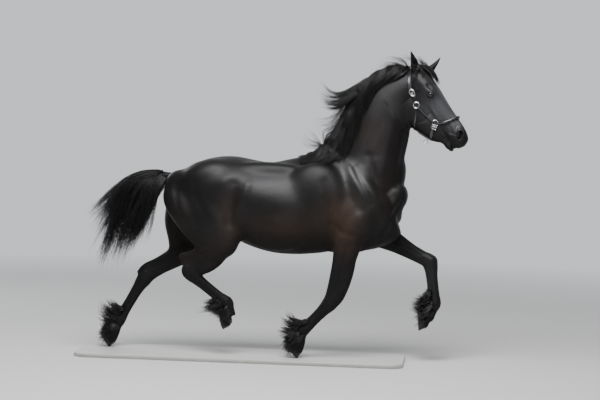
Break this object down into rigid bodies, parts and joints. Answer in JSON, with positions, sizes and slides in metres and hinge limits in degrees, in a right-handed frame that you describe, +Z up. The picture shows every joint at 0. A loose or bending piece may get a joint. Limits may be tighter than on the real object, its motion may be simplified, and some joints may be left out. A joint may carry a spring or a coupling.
{
  "type": "friesian horse",
  "caption": "Life-size still model of a black Friesian horse in a trot, in a leather halter, on a flat display base.",
  "frame": {"origin": "centre of the display base's underside", "axes": "+X the way the horse faces, +Y its left, +Z up"},
  "size_m": [2.7537, 0.6188, 2.2084],
  "materials": {
    "coat": "glossy short black hair",
    "hair": "long black hair",
    "horn": "dark horn",
    "eye": "wet dark brown",
    "leather": "polished black",
    "metal": "polished",
    "base": "satin"
  },
  "bodies": {
    "root": {"torso": "coat", "neck": "coat", "head": "coat", "tail": "hair", "leg_fore_left": "coat", "leg_fore_right": "coat", "leg_hind_left": "coat", "leg_hind_right": "coat", "shank_fore_left": "coat", "shank_fore_right": "coat", "shank_hind_left": "coat", "shank_hind_right": "coat", "hoof_fore_left": "horn", "hoof_fore_right": "horn", "hoof_hind_left": "horn", "hoof_hind_right": "horn", "ear_left": "coat", "ear_right": "coat", "eye_left": "eye", "eye_right": "eye", "halter_crown": "leather", "halter_nose": "leather", "halter_chin": "leather", "halter_throat": "leather", "halter_jaw": "leather", "halter_cheek_left": "leather", "halter_cheek_right": "leather", "halter_buckle_left": "metal", "halter_buckle_right": "metal", "halter_upper_ring_left": "metal", "halter_upper_ring_right": "metal", "halter_lower_ring_left": "metal", "halter_lower_ring_right": "metal", "halter_lead_ring": "metal", "stand_base": "base"}
  },
  "joints": []
}
